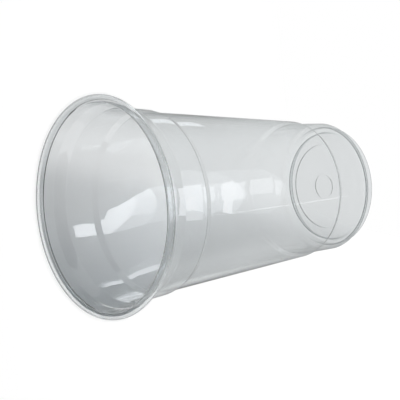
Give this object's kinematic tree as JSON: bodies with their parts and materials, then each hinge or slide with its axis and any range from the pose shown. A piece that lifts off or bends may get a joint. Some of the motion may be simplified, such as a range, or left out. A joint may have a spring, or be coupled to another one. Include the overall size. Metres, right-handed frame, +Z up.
{
  "type": "plastic disposable cup",
  "caption": "Clear thermoformed plastic cup for cold drinks, with a rolled rim, flared collar, tapered wall, stepped foot and raised floor.",
  "frame": {"origin": "centre of the foot's underside, on the surface that the cup stands on", "axes": "+Z up along the cup's axis, from the foot to the mouth; the cup is round about it, so X and Y are free"},
  "size_m": [0.098, 0.098, 0.1405],
  "materials": {
    "clear_pet": "clear, smooth and glossy, with a faint cool grey tint"
  },
  "bodies": {
    "root": {"cup": "clear_pet"}
  },
  "joints": []
}
